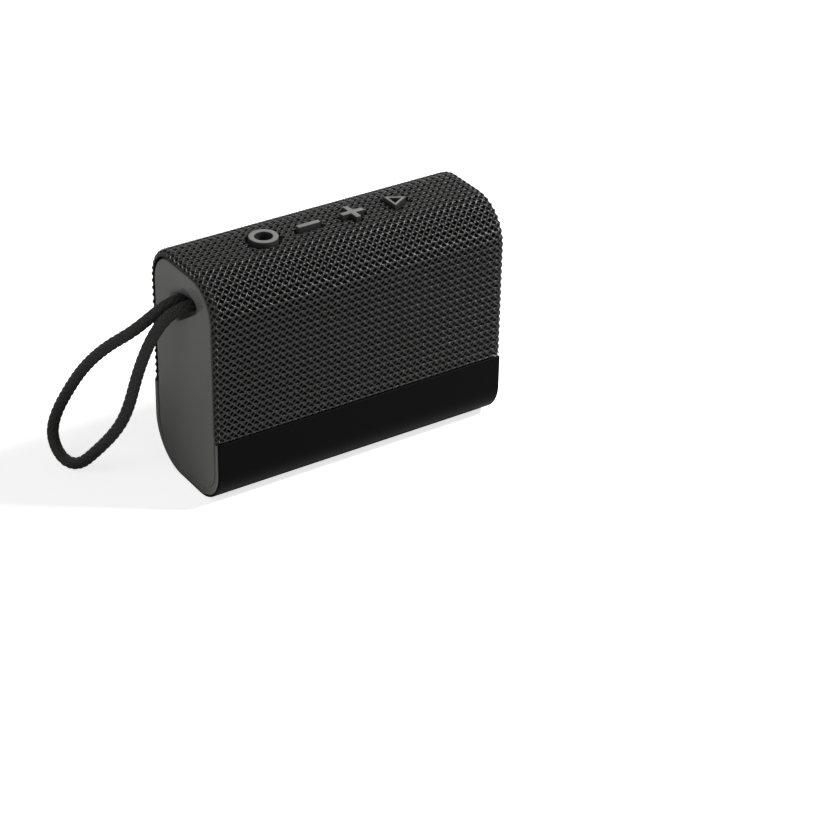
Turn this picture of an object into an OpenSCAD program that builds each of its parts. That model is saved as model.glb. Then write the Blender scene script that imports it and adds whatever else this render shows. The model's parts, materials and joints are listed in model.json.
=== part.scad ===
// Shower speaker: a small fabric-covered speaker with four top buttons and a wrist strap.
// X runs along the body, Y from front to back, Z up. The origin is the middle of the underside.

/* [Body] */
// Length between the faces of the two end caps
body_length = 102; // [98:1:116]
// Depth from front to back
body_depth = 39; // [38:1:42]
// Height of the fabric top above the underside
body_height = 75.4; // [74.4:1:78.4]
// Corner radius at the top of the front
top_front_r = 14; // [12:0.5:15]
// Corner radius at the top of the back
top_back_r = 12.5; // [11:0.5:14]
// Corner radius at the bottom of the back
bottom_back_r = 15; // [13:0.5:15.5]
// Corner radius at the bottom of the front
bottom_front_r = 12; // [11:0.5:13]

/* [Skins] */
// Thickness of the fabric
fabric_t = 1.2; // [1:0.1:1.2]
// Height of the fabric's lower edge on the front
band_front_z = 23; // [21:0.5:24]
// Height of the fabric's lower edge on the back
band_back_z = 27; // [26.5:0.5:28]
// Thickness of the rubber band around the base
band_t = 1.8; // [1.4:0.1:1.8]
// Wall of the inner shells
shell_wall = 1.4; // [1.2:0.1:1.4]

/* [End caps] */
// Thickness of the face plate
cap_t = 1.4; // [1.3:0.1:1.5]
// Distance from the body's outline to the face plate's edge
cap_inset = 2.9; // [2.8:0.05:3]
// Distance from the body's outline to the rim that closes the end of the band
rim_inset = 0.75; // [0.75:0.05:0.9]
// Thickness of that rim
rim_t = 0.7; // [0.5:0.1:0.8]
// Radius of the strap pocket
pocket_r = 4.2; // [4.1:0.1:4.4]

/* [Strap] */
// Diameter of the cord
cord_d = 3.8; // [3.4:0.1:3.8]

/* [Buttons] */
// Distance between button centres
button_pitch = 15.4; // [14:0.1:16]
// Distance of the first button, the ring, from the middle
first_button_x = -23.1; // [-23.4:0.1:-22.8]
// Distance of the buttons behind the middle
button_y = 0; // [-0.5:0.1:1]
// How far the buttons stand above the fabric
button_rise = 1.1; // [0.8:0.1:1.4]
// Travel when pressed
button_travel = 0.5; // [0.3:0.1:0.5]
// Outer diameter of the ring
ring_d = 9.1; // [9:0.1:10]
// Width of the minus and of the plus
sign_w = 7.8; // [7.6:0.1:8.6]
// Width of the strokes of the minus and of the plus
stroke_w = 1.8; // [1.6:0.1:2.2]
// Gap around a button in its window
button_gap = 0.35; // [0.3:0.05:0.4]

/* [Driver] */
// Height of the driver's axis
driver_z = 45.5; // [45:0.5:46]
// Outer radius of the driver's frame
driver_r = 18; // [17:0.5:18]
// Radius of the cone
cone_r = 12.6; // [12:0.1:12.6]
// Outer radius of the magnet
magnet_r = 10; // [9:0.5:11]

/* [Battery] */
// Diameter of the cell
cell_d = 18.4; // [18:0.1:18.4]
// Length of the cell
cell_length = 65; // [60:1:65]

/* [Port] */
// Distance of the charging port from the middle
port_x = 24; // [20:1:26]
// Width of the port's flap
flap_w = 15; // [14:0.5:16]
// Height of the flap above its hinge
flap_h = 7.6; // [7.4:0.1:7.6]

/* [Hidden] */
$fn = 64;

half_length = body_length / 2;
half_depth = body_depth / 2;
far = 200;              // longer than anything that is cut

// Layers, as distances in from the body's outline
shell_in = fabric_t + 0.1;
lower_shell_in = band_t + 0.1;
cavity_in = lower_shell_in + shell_wall;
lip_in = fabric_t / 2;
frame_in = lower_shell_in;
frame_w = 3.1;
seal_w = 0.9;
plug_in = frame_in + frame_w + seal_w;

// Places along X
fabric_x = half_length - 0.1;
lip_w = 1.2;
band_x = half_length - 1.4;
band_lip_x = half_length - 0.2;
band_lip_t = 0.6;
cap_x = half_length - cap_t;
frame_x = cap_x - 2.15;
shell_x = frame_x - 0.1;
seal_x = frame_x + 0.5;

// Places along Y and Z
split_y = -4;
cavity_front_y = -half_depth + cavity_in;
cavity_top_z = body_height - cavity_in;

// Buttons and the board below them
symbol_z = cavity_top_z - 0.5;
ring_hole_d = 5.5;
play_r = 4.1;
play_hole_r = 2.2;
well_z = body_height - 1.4;
keypad_seal_t = 1.3;
keypad_gap = 0.5;
flange_r = 5.9;
flange_t = 1.2;
plunger_r = 1.3;
plunger_t = 1.1;
plunger_z = symbol_z - flange_t - plunger_t;
board_t = 1;
button_board_z = symbol_z - 5.4;
button_board_x0 = -36;
button_board_x1 = 39;
board_half_y = 8;
switch_w = 5.2;
post_r = 2.2;
post_x = [button_board_x0 + 3, button_board_x1 - 3];

// Holes in the shells in front of the driver and behind the passive radiator
grille_r = 15.5;
grille_pitch = 4.6;
grille_hole_r = 1.5;
vent_pitch = 6;
vent_hole_r = 2;

// Sound box
box_half_x = 27;
box_z0 = driver_z - 18.5;
box_z1 = driver_z + 18.5;
box_wall = 1.5;
box_front_y = -12.8;
box_back_y = 12;
seal_t = 0.6;

// Bosses that hold the two shells together
boss_x = 41;
boss_z = [18, 52];
boss_r = 2.6;
screw_r = 0.95;
screw_bore_r = 1;
screw_hole_r = 1.1;
screw_head_r = 1.8;
screw_head_t = 0.9;
screw_head_y = 9;

// Driver, along Y from its front flange
gasket_t = 0.4;
basket_t = 1;
flange_y = box_front_y - gasket_t - basket_t;
driver_hole_r = driver_r - 1.8;
driver_screw_circle = driver_r - 1.1;
driver_screw_r = 0.65;
driver_screw_hole_r = 0.9;
roll_r = 1.4;
roll_in_r = cone_r;
roll_out_r = cone_r + 2 * roll_r;
coil_in_r = 3.7;
coil_out_r = 4.05;
plate_y = -5.5;
plate_bore_r = coil_out_r + 0.35;
pole_r = coil_in_r - 0.3;
magnet_y = plate_y + 1.5;
magnet_bore_r = 5.4;
yoke_y = magnet_y + 4.5;
yoke_r = magnet_r - 0.6;
yoke_t = 1.6;
driver_lead_x = [-1.5, 1.5];
driver_lead_y = -9;
lead_r = 0.5;
cone_neck_y = -9.4;
cone_t = 0.5;
dome_y = -12.4;
dome_r = 11.4;
dome_t = 0.4;
dome_edge_r = 5.6;
coil_end_y = -2.8;
spider_y = -7.4;
spider_r = 8.6;
spider_t = 0.4;
roll_t = 0.4;
radiator_t = 0.8;
radiator_frame_t = 1.2;
radiator_hole_r = 15.6;
radiator_weight_r = 8;

// Boards and battery
main_board_z = 25;
main_board_t = 1.2;
main_board_x = 37;
main_board_y = 14;
cell_z = cavity_in + 2 + cell_d / 2;
cell_x0 = -34;
tab_t = 0.3;
terminal_t = 0.9;
lead_length = 1.2;
tab_x = [cell_x0 - tab_t, cell_x0 + cell_length + terminal_t];
board_posts = [[-35.2, -9], [-35.2, 9], [35.2, -9]];

// Charging port and its flap
hinge_y = half_depth - 0.9;
hinge_z = 18.4;
bead_r = 0.8;
pin_r = 0.35;
pin_clearance = 0.03;
flap_t = 1.6;
window_gap = 0.3;
ear_w = 1.3;
port_z = 23.35;
port_w = 9;
port_h = 3.3;

// Strap pocket: a slanted scoop in the face of the left cap, deep behind the strands,
// whose tail gets shallow and thin towards the top front corner
pocket_x = -half_length + 1;
pocket_y = 1.5;
pocket_z = body_height - 14.9;
pocket_slope = 32.6;
pocket_rise = -3;
pocket_run = 6;
pocket_tail = 5.6;
pocket_end_r = 1.6;
pocket_wall = 1.1;
strand_z = body_height - 13.4;
anchor_x0 = -half_length + 6.7;
anchor_x1 = anchor_x0 + 5.4;
anchor_socket = 2.3;
anchor_wall = 1.4;
anchor_half_height = 3.6;
cord_clearance = 0.1;
cord_sides = 8;

// Distance between the two strands in their sockets
strand_gap = 5;
// Route of the strap's cord, from one socket of the anchor round to the other, on a body
// whose left face is at -51 and whose strands leave it at a height of 62
strap_route = [
    [-42, 2.5, 62], [-47, 2.5, 62], [-51.5, 2.5, 62], [-56, 3, 60.5], [-60, 5, 56.5],
    [-64, 8.5, 51.5], [-67.5, 14, 46.5], [-70.5, 20, 40], [-73, 25.5, 32.5], [-75, 30, 24.5],
    [-77, 34, 16.5], [-79, 35.5, 8.5], [-79, 31.5, 3], [-78, 26, 1.5], [-76, 21, 3.5],
    [-74, 16.5, 9], [-70.5, 12, 15.5], [-67.5, 8.5, 22.5], [-66, 6, 30.5], [-65, 4, 38.5],
    [-63.5, 1.5, 47], [-61, -0.5, 54.5], [-57, -1.5, 60], [-52, -2.5, 62], [-47, -2.5, 62],
    [-42, -2.5, 62]
];
// The route on this body
strap_path = [for (p = strap_route) [p[0] + 51 - half_length, p[1], p[2] + strand_z - 62]];

// ---- Shared shapes ----

// The body's rounded section, moved in by inset, as a solid from x0 to x1
module body_x(x0, x1, inset = 0) {
    corners = [
        [-half_depth + top_front_r, body_height - top_front_r, top_front_r - inset],
        [half_depth - top_back_r, body_height - top_back_r, top_back_r - inset],
        [half_depth - bottom_back_r, bottom_back_r, bottom_back_r - inset],
        [-half_depth + bottom_front_r, bottom_front_r, bottom_front_r - inset]
    ];
    y = half_depth - inset;
    top = body_height - inset;
    along_x(x0, x1) polygon([
        [-y, corners[0][1]], [corners[0][0], top], [corners[1][0], top], [y, corners[1][1]],
        [y, corners[2][1]], [corners[2][0], inset], [corners[3][0], inset], [-y, corners[3][1]]
    ]);
    for (c = corners) rod_x([c[0], c[1]], x0, x1, c[2]);
}

// Tube between two insets of the section, from x0 to x1
module ring_x(x0, x1, outer, inner) {
    difference() {
        body_x(x0, x1, outer);
        body_x(x0 - 1, x1 + 1, inner);
    }
}

// Part of the Y-Z plane that lies above the base band
module above_band() {
    polygon([
        [-far, band_front_z], [0, band_front_z], [0, band_back_z],
        [far, band_back_z], [far, far], [-far, far]
    ]);
}

// Part of the Y-Z plane that lies beside and below the base band's upper edge
module below_band(drop = 0.1) {
    polygon([
        [-far, band_front_z - drop], [0, band_front_z - drop], [0, band_back_z - drop],
        [far, band_back_z - drop], [far, -far], [-far, -far]
    ]);
}

// A shape of the Y-Z plane made into a solid from x0 to x1
module along_x(x0, x1) {
    translate([x0, 0, 0]) rotate([90, 0, 90]) linear_extrude(height = x1 - x0) children();
}

// A shape of the X-Z plane made into a solid from y0 to y1
module along_y(y0, y1) {
    translate([0, y1, 0]) rotate([90, 0, 0]) linear_extrude(height = y1 - y0) children();
}

// A box from its lowest to its highest corner
module box(low, high) {
    translate(low) cube(high - low);
}

// A cylinder along Y at [x, z]
module rod_y(place, y0, y1, r) {
    translate([place[0], y0, place[1]]) rotate([-90, 0, 0]) cylinder(r = r, h = y1 - y0);
}

// A cylinder along X at [y, z]
module rod_x(place, x0, x1, r) {
    translate([x0, place[0], place[1]]) rotate([0, 90, 0]) cylinder(r = r, h = x1 - x0);
}

// A turned piece around the driver's axis: its outline is [radius, y]
module turned(outline) {
    translate([0, 0, driver_z]) rotate([-90, 0, 0]) rotate_extrude() polygon(outline);
}

// A flat ring around the driver's axis
module driver_ring(y0, y1, outer, inner) {
    turned([[inner, y0], [outer, y0], [outer, y1], [inner, y1]]);
}

// A half-round roll of rubber between two radii, bulging towards -Y or +Y
module roll(y, middle_r, side) {
    translate([0, 0, driver_z]) rotate([-90, 0, 0]) rotate_extrude() translate([middle_r, y])
        intersection() {
            difference() {
                circle(r = roll_r);
                circle(r = roll_r - roll_t);
            }
            translate([-roll_r, side > 0 ? 0 : -roll_r]) square([2 * roll_r, roll_r]);
        }
}

// Holes in a hexagonal field around the driver's axis, cut along Y
module hole_field(y0, y1, pitch, hole_r) {
    row_pitch = pitch * sin(60);
    rows = floor(grille_r / row_pitch);
    columns = floor(grille_r / pitch) + 1;
    for (row = [-rows:rows], column = [-columns:columns]) {
        x = (column + (abs(row) % 2) / 2) * pitch;
        z = row * row_pitch;
        if (norm([x, z]) < grille_r) rod_y([x, driver_z + z], y0, y1, hole_r);
    }
}

// ---- Skins ----

module fabric_cover() {
    color([0.11, 0.11, 0.11]) difference() {
        union() {
            intersection() {
                ring_x(-fabric_x + lip_w, fabric_x - lip_w, 0, fabric_t);
                along_x(-far, far) above_band();
            }
            for (x0 = [-fabric_x, fabric_x - lip_w]) intersection() {
                ring_x(x0, x0 + lip_w, lip_in, lip_in + fabric_t - 0.1);
                along_x(-far, far) above_band();
            }
        }
        button_windows(body_height - fabric_t - 0.5);
    }
}

module base_band() {
    color([0.05, 0.05, 0.05]) difference() {
        intersection() {
            union() {
                ring_x(-band_x, band_x, 0, band_t);
                ring_x(-band_lip_x, band_lip_x, 0, band_lip_t);
            }
            along_x(-far, far) below_band();
        }
        flap_window();
    }
}

// ---- Shells ----

// Wall of both shells, thicker above the band, where the fabric lies on it
module shell_ring() {
    difference() {
        union() {
            body_x(-shell_x, shell_x, lower_shell_in);
            intersection() {
                body_x(-shell_x, shell_x, shell_in);
                along_x(-far, far) above_band();
            }
        }
        body_x(-far, far, cavity_in);
    }
}

module front_shell() {
    color([0.08, 0.08, 0.08]) difference() {
        union() {
            intersection() {
                shell_ring();
                box([-far, -far, -far], [far, split_y, far]);
            }
            for (x = [-boss_x, boss_x], z = boss_z)
                rod_y([x, z], cavity_front_y - 0.2, split_y, boss_r);
        }
        for (x = [-boss_x, boss_x], z = boss_z)
            rod_y([x, z], cavity_front_y + 3, split_y + 1, screw_bore_r);
        hole_field(-half_depth, cavity_front_y + 0.5, grille_pitch, grille_hole_r);
        button_windows(cavity_top_z - 1);
    }
}

module rear_shell() {
    back_y = half_depth - cavity_in;
    color([0.08, 0.08, 0.08]) difference() {
        union() {
            intersection() {
                shell_ring();
                box([-far, split_y + 0.02, -far], [far, far, far]);
            }
            for (x = [-boss_x, boss_x], z = boss_z)
                rod_y([x, z], split_y + 0.02, back_y + 0.2, boss_r);
            for (x = post_x) translate([x, button_y, button_board_z + board_t])
                cylinder(r = post_r, h = cavity_top_z - button_board_z - board_t + 0.2);
        }
        for (x = [-boss_x, boss_x], z = boss_z) {
            rod_y([x, z], split_y - 1, screw_head_y + 1, screw_hole_r);
            rod_y([x, z], screw_head_y, half_depth, screw_head_r + 0.25);
        }
        for (x = post_x) translate([x, button_y, button_board_z])
            cylinder(r = screw_bore_r, h = 4);
        button_windows(cavity_top_z - 1);
        hole_field(back_y - 0.5, half_depth, vent_pitch, vent_hole_r);
        box([port_x - flap_w / 2 - 2, back_y - 1, hinge_z - 4.4],
            [port_x + flap_w / 2 + 2, half_depth, hinge_z + flap_h]);
    }
}

// ---- Ends ----

module end_frame() {
    ring_x(frame_x, cap_x - 0.05, frame_in, frame_in + frame_w);
}

module end_cap() {
    body_x(cap_x, half_length, cap_inset);
    intersection() {
        body_x(half_length - rim_t, half_length, rim_inset);
        along_x(-far, far) below_band(0.6);
    }
    ring_x(frame_x + 0.1, cap_x + 0.1, plug_in, plug_in + 1.2);
}

// Groove between the face plate and the rim of the band's end
module rim_groove() {
    intersection() {
        ring_x(half_length - 0.4, half_length + 1, cap_inset - 0.25, cap_inset);
        box([-far, -far, bottom_front_r * 0.4], [far, far, far]);
    }
}

module left_end_frame() {
    color([0.12, 0.12, 0.12]) mirror([1, 0, 0]) end_frame();
}

module right_end_frame() {
    color([0.12, 0.12, 0.12]) end_frame();
}

// The pocket's hollow: a turned torpedo whose thin end runs out towards the corner
module pocket_hollow() {
    translate([pocket_x, pocket_y, pocket_z]) rotate([90 - pocket_slope, 0, 0])
        rotate([0, pocket_rise, 0]) rotate_extrude() intersection() {
            union() {
                circle(r = pocket_r);
                translate([0, pocket_run]) circle(r = pocket_r);
                polygon([
                    [0, 0], [pocket_r, 0], [pocket_r, pocket_run],
                    [pocket_end_r, pocket_run + pocket_tail], [0, pocket_run + pocket_tail]
                ]);
            }
            translate([0, -pocket_r]) square([far, far]);
        }
}

// The tub behind the face plate that holds the pocket
module pocket_tub() {
    tub_r = pocket_r + pocket_wall;
    translate([0, pocket_y, pocket_z]) rotate([90 - pocket_slope, 0, 0]) {
        for (z = [0, pocket_run]) translate([-cap_x - 0.1, 0, z]) rotate([0, 90, 0])
            cylinder(r = tub_r, h = anchor_x0 + cap_x + 0.1);
        box([-cap_x - 0.1, -tub_r, 0], [anchor_x0, tub_r, pocket_run]);
    }
}

module left_end_cap() {
    color([0.3, 0.3, 0.3]) difference() {
        union() {
            mirror([1, 0, 0]) end_cap();
            intersection() {
                pocket_tub();
                body_x(-cap_x - 0.2, anchor_x0, plug_in);
            }
        }
        pocket_hollow();
        for (side = [-1, 1])
            rod_x([side * strand_gap / 2, strand_z],
                -cap_x, anchor_x0 + 1, cord_d / 2 + cord_clearance);
        mirror([1, 0, 0]) rim_groove();
    }
}

module right_end_cap() {
    color([0.3, 0.3, 0.3]) difference() {
        end_cap();
        rim_groove();
    }
}

module cap_seal() {
    ring_x(seal_x, seal_x + 1, plug_in - seal_w, plug_in);
}

module left_cap_seal() {
    color([0.15, 0.15, 0.15]) mirror([1, 0, 0]) cap_seal();
}

module right_cap_seal() {
    color([0.15, 0.15, 0.15]) cap_seal();
}

// ---- Strap ----

// A tube of the given number of sides swept along a route
function unit(v) = v / norm(v);
function heading(route, i) =
    unit(route[min(i + 1, len(route) - 1)] - route[max(i - 1, 0)]);
// Each ring's first direction is the last one's, made square to the new heading
function ring_sides(route, i = 0, last = [0, 0, 1], done = []) =
    i == len(route) ? done :
    let (
        h = heading(route, i),
        side = unit(last - h * (last * h))
    )
    ring_sides(route, i + 1, side, concat(done, [side]));

module tube(route, r, sides) {
    firsts = ring_sides(route);
    points = [
        for (i = [0:len(route) - 1], k = [0:sides - 1])
            let (
                second = cross(heading(route, i), firsts[i]),
                angle = 360 * k / sides
            )
            route[i] + r * (firsts[i] * cos(angle) + second * sin(angle))
    ];
    walls = [
        for (i = [0:len(route) - 2], k = [0:sides - 1])
            let (next = (k + 1) % sides)
            [i * sides + k, (i + 1) * sides + k, (i + 1) * sides + next, i * sides + next]
    ];
    start = [for (k = [0:sides - 1]) k];
    end = [for (k = [sides - 1:-1:0]) (len(route) - 1) * sides + k];
    polyhedron(points, concat(walls, [start, end]), convexity = 8);
}

module strap_cord() {
    color([0.07, 0.07, 0.07]) tube(strap_path, cord_d / 2, cord_sides);
}

module strap_anchor() {
    half_y = strand_gap / 2 + cord_d / 2 + anchor_wall;
    color([0.2, 0.2, 0.2]) difference() {
        box([anchor_x0, -half_y, strand_z - anchor_half_height],
            [anchor_x1, half_y, strand_z + anchor_half_height]);
        for (side = [-1, 1])
            rod_x([side * strand_gap / 2, strand_z],
                anchor_x0 - 1, anchor_x0 + anchor_socket, cord_d / 2 + cord_clearance);
    }
}

// ---- Buttons ----

// Outline of button number i, grown by a gap
module symbol(i, gap = 0) {
    if (i == 0) circle(d = ring_d + 2 * gap);
    if (i == 1) square([sign_w + 2 * gap, stroke_w + 2 * gap], center = true);
    if (i == 2) {
        square([sign_w + 2 * gap, stroke_w + 2 * gap], center = true);
        square([stroke_w + 2 * gap, sign_w + 2 * gap], center = true);
    }
    if (i == 3) circle(r = play_r + 2 * gap, $fn = 3);
}

function button_x(i) = first_button_x + i * button_pitch;

module button_windows(z) {
    for (i = [0:3]) translate([button_x(i), button_y, z])
        linear_extrude(height = body_height) symbol(i, button_gap);
}

module button(i) {
    color([0.42, 0.42, 0.41]) translate([button_x(i), button_y, 0]) {
        difference() {
            translate([0, 0, symbol_z - 0.1])
                linear_extrude(height = body_height + button_rise - symbol_z + 0.1) symbol(i);
            if (i == 0) translate([0, 0, well_z]) cylinder(d = ring_hole_d, h = 5);
            if (i == 3) translate([0, 0, well_z])
                linear_extrude(height = 5) circle(r = play_hole_r, $fn = 3);
        }
        translate([0, 0, symbol_z - flange_t]) cylinder(r = flange_r, h = flange_t);
        translate([0, 0, plunger_z]) cylinder(r = plunger_r, h = plunger_t + 0.1);
    }
}

module power_button() { button(0); }
module volume_down_button() { button(1); }
module volume_up_button() { button(2); }
module play_button() { button(3); }

module keypad_seal() {
    color([0.2, 0.2, 0.2]) difference() {
        intersection() {
            box([post_x[0] + post_r + 0.3, button_y - 7, symbol_z - keypad_seal_t],
                [post_x[1] - post_r - 0.3, button_y + 7, cavity_top_z]);
            body_x(-far, far, cavity_in + 0.02);
        }
        for (i = [0:3]) translate([button_x(i), button_y, 0])
            cylinder(r = flange_r + keypad_gap, h = body_height);
    }
}

module button_board() {
    color([0.05, 0.3, 0.12]) difference() {
        box([button_board_x0, button_y - board_half_y, button_board_z],
            [button_board_x1, button_y + board_half_y, button_board_z + board_t]);
        for (x = post_x) translate([x, button_y, button_board_z - 1])
            cylinder(r = screw_hole_r, h = 4);
    }
}

module tact_switches() {
    top = button_board_z + board_t;
    color([0.75, 0.75, 0.75]) for (i = [0:3]) translate([button_x(i), button_y, top]) {
        translate([-switch_w / 2, -switch_w / 2, 0]) cube([switch_w, switch_w, 1.2]);
        cylinder(r = 1, h = plunger_z - button_travel - 0.1 - top);
    }
}

module status_led() {
    color([0.9, 0.9, 0.95])
        translate([button_x(0) + button_pitch / 2, button_y, button_board_z + board_t])
            cylinder(r = 0.9, h = 1.4);
}

module microphone() {
    color([0.7, 0.65, 0.4])
        translate([button_x(2) + button_pitch / 2 - 1.5, button_y - 1.2, button_board_z + board_t])
            cube([3, 2.4, 1]);
}

module ribbon_cable() {
    color([0.85, 0.85, 0.8])
        box([31, -4, main_board_z + main_board_t], [31.3, 4, button_board_z]);
}

// ---- Boards ----

module main_board() {
    color([0.05, 0.3, 0.12]) difference() {
        box([-main_board_x, -main_board_y, main_board_z],
            [main_board_x, main_board_y, main_board_z + main_board_t]);
        for (p = board_posts) translate([p[0], p[1], main_board_z - 1])
            cylinder(r = screw_hole_r, h = 4);
    }
}

module usb_port() {
    color([0.8, 0.8, 0.8]) difference() {
        box([port_x - port_w / 2, 9.3, main_board_z - port_h], [port_x + port_w / 2, 16.6, main_board_z]);
        difference() {
            box([port_x - port_w / 2 + 0.3, 10.5, main_board_z - port_h + 0.3],
                [port_x + port_w / 2 - 0.3, 17, main_board_z - 0.3]);
            box([port_x - 3.3, 10, port_z - 0.35], [port_x + 3.3, 16, port_z + 0.35]);
        }
    }
}

module bluetooth_module() {
    color([0.7, 0.7, 0.72])
        box([-29, 6.8, main_board_z - 1.8], [-14, 13.4, main_board_z]);
}

module amplifier_chip() {
    color([0.1, 0.1, 0.1])
        box([-8, 8, main_board_z - 1.1], [-3, 13, main_board_z]);
}

module wire_connectors() {
    color([0.9, 0.88, 0.8]) for (x = [-24, -2, 20])
        box([x - 3.5, -13, main_board_z - 3.4], [x + 3.5, -8.8, main_board_z]);
}

module board_screws() {
    color([0.65, 0.65, 0.65]) {
        for (p = board_posts) translate([p[0], p[1], main_board_z + main_board_t]) {
            cylinder(r = screw_head_r, h = screw_head_t);
            translate([0, 0, -5]) cylinder(r = screw_r, h = 5.1);
        }
        for (x = post_x) translate([x, button_y, button_board_z]) {
            translate([0, 0, -screw_head_t]) cylinder(r = screw_head_r, h = screw_head_t);
            translate([0, 0, -0.1]) cylinder(r = screw_r, h = 3.6);
        }
    }
}

// ---- Battery ----

module battery_cell() {
    color([0.1, 0.25, 0.6]) {
        rod_x([0, cell_z], cell_x0, cell_x0 + cell_length, cell_d / 2);
        rod_x([0, cell_z], cell_x0 + cell_length - 0.1, cell_x0 + cell_length + terminal_t, 3);
    }
}

module battery_cradle() {
    color([0.15, 0.15, 0.15]) difference() {
        intersection() {
            body_x(-main_board_x - 1, main_board_x + 1, cavity_in + 0.05);
            union() {
                box([-main_board_x - 1, -far, 0], [main_board_x + 1, far, cavity_in + 1.6]);
                for (x = [-26, 20]) box([x, -11.5, 0], [x + 4, 11.5, cell_z - 1]);
                for (p = board_posts) translate([p[0], p[1], 0])
                    cylinder(r = 1.9, h = main_board_z);
            }
        }
        rod_x([0, cell_z], cell_x0 - 1.2, cell_x0 + cell_length + 1.2, cell_d / 2 + 0.1);
        for (p = board_posts) translate([p[0], p[1], main_board_z - 6])
            cylinder(r = screw_bore_r, h = 7);
    }
}

module battery_tabs() {
    color([0.8, 0.8, 0.78]) for (x = tab_x)
        box([x, -2.5, cell_z - 2.5], [x + tab_t, 2.5, main_board_z - lead_length]);
}

module battery_leads() {
    color([0.6, 0.1, 0.1]) for (x = tab_x)
        translate([x + tab_t / 2, 0, main_board_z - lead_length])
            cylinder(r = lead_r, h = lead_length);
}

// ---- Sound box ----

module sound_box_front() {
    color([0.16, 0.16, 0.17]) difference() {
        union() {
            along_y(box_front_y, 0) translate([-box_half_x, box_z0])
                square([2 * box_half_x, box_z1 - box_z0]);
            box([-45, box_front_y, 48], [45, box_front_y + box_wall, 56]);
        }
        along_y(box_front_y + box_wall, 1) translate([-box_half_x + box_wall, box_z0 + box_wall])
            square([2 * (box_half_x - box_wall), box_z1 - box_z0 - 2 * box_wall]);
        rod_y([0, driver_z], box_front_y - 1, box_front_y + box_wall + 1, driver_hole_r);
        for (x = [-boss_x, boss_x]) rod_y([x, boss_z[1]], box_front_y - 1, 0, boss_r + 0.05);
        for (a = [45:90:315])
            rod_y(driver_screw(a), box_front_y - 1, -10, driver_screw_r + 0.05);
        for (x = driver_lead_x) translate([x, driver_lead_y, box_z0 - 1])
            cylinder(r = lead_r, h = 4);
    }
}

module sound_box_rear() {
    color([0.16, 0.16, 0.17]) difference() {
        along_y(seal_t, box_back_y) translate([-box_half_x, box_z0])
            square([2 * box_half_x, box_z1 - box_z0]);
        along_y(0, box_back_y - box_wall) translate([-box_half_x + box_wall, box_z0 + box_wall])
            square([2 * (box_half_x - box_wall), box_z1 - box_z0 - 2 * box_wall]);
        rod_y([0, driver_z], box_back_y - box_wall - 1, box_back_y + 1, radiator_hole_r);
    }
}

module sound_box_seal() {
    color([0.2, 0.2, 0.2]) along_y(0, seal_t) difference() {
        translate([-box_half_x, box_z0]) square([2 * box_half_x, box_z1 - box_z0]);
        translate([-box_half_x + box_wall, box_z0 + box_wall])
            square([2 * (box_half_x - box_wall), box_z1 - box_z0 - 2 * box_wall]);
    }
}

// ---- Driver ----

// Where the driver's screws sit, as [x, z]
function driver_screw(angle) = 
    [driver_screw_circle * cos(angle), driver_z + driver_screw_circle * sin(angle)];

module driver_gasket() {
    color([0.25, 0.25, 0.25]) difference() {
        driver_ring(box_front_y - gasket_t, box_front_y, driver_r, driver_hole_r);
        for (a = [45:90:315])
            rod_y(driver_screw(a), box_front_y - 1, -10, driver_screw_hole_r);
    }
}

module driver_basket() {
    back_y = flange_y + basket_t;
    color([0.2, 0.2, 0.21]) difference() {
        turned([
            [roll_out_r, flange_y], [driver_r, flange_y], [driver_r, back_y],
            [16, back_y], [9.5, plate_y], [5.4, plate_y], [5.4, plate_y - 0.7],
            [9, plate_y - 0.7], [15.2, back_y - 0.5], [roll_out_r, back_y - 0.5]
        ]);
        for (a = [45:90:315]) rod_y(driver_screw(a), flange_y - 1, -10, driver_screw_hole_r);
        for (a = [0:90:270]) translate([0, 0, driver_z]) rotate([0, a, 0])
            box([10.5, -11.6, -3.5], [15, -7, 3.5]);
    }
}

module driver_surround() {
    color([0.12, 0.12, 0.12]) roll(flange_y - 0.02, (roll_in_r + roll_out_r) / 2, -1);
}

module driver_cone() {
    color([0.18, 0.18, 0.18]) turned([
        [coil_out_r, cone_neck_y], [roll_in_r - 1, flange_y], [roll_in_r, flange_y],
        [roll_in_r, flange_y + cone_t], [roll_in_r - 0.6, flange_y + cone_t],
        [coil_out_r, cone_neck_y + cone_t * 1.3]
    ]);
}

module dust_cap() {
    color([0.2, 0.2, 0.2]) intersection() {
        translate([0, dome_y + dome_r, driver_z]) difference() {
            sphere(r = dome_r);
            sphere(r = dome_r - dome_t);
        }
        rod_y([0, driver_z], dome_y - 1, dome_y + 2.4, dome_edge_r);
    }
}

module voice_coil() {
    color([0.7, 0.4, 0.2]) driver_ring(cone_neck_y - 0.6, coil_end_y, coil_out_r, coil_in_r);
}

module driver_spider() {
    color([0.75, 0.6, 0.3]) driver_ring(spider_y, spider_y + spider_t, spider_r, coil_out_r);
}

module top_plate() {
    color([0.6, 0.6, 0.62]) driver_ring(plate_y, magnet_y, yoke_r, plate_bore_r);
}

module driver_magnet() {
    color([0.25, 0.25, 0.27]) driver_ring(magnet_y, yoke_y, magnet_r, magnet_bore_r);
}

module driver_yoke() {
    color([0.6, 0.6, 0.62]) turned([
        [0, plate_y], [pole_r, plate_y], [pole_r, yoke_y], [yoke_r, yoke_y],
        [yoke_r, yoke_y + yoke_t], [0, yoke_y + yoke_t]
    ]);
}

module driver_screws() {
    color([0.65, 0.65, 0.65]) for (a = [45:90:315]) {
        rod_y(driver_screw(a), flange_y - 0.7, flange_y, 1);
        rod_y(driver_screw(a), flange_y - 0.1, -11.4, driver_screw_r);
    }
}

module driver_leads() {
    color([0.6, 0.1, 0.1]) for (x = driver_lead_x)
        translate([x, driver_lead_y, main_board_z + main_board_t]) cylinder(r = lead_r, h = 6.6);
}

// ---- Passive radiator ----

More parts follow.
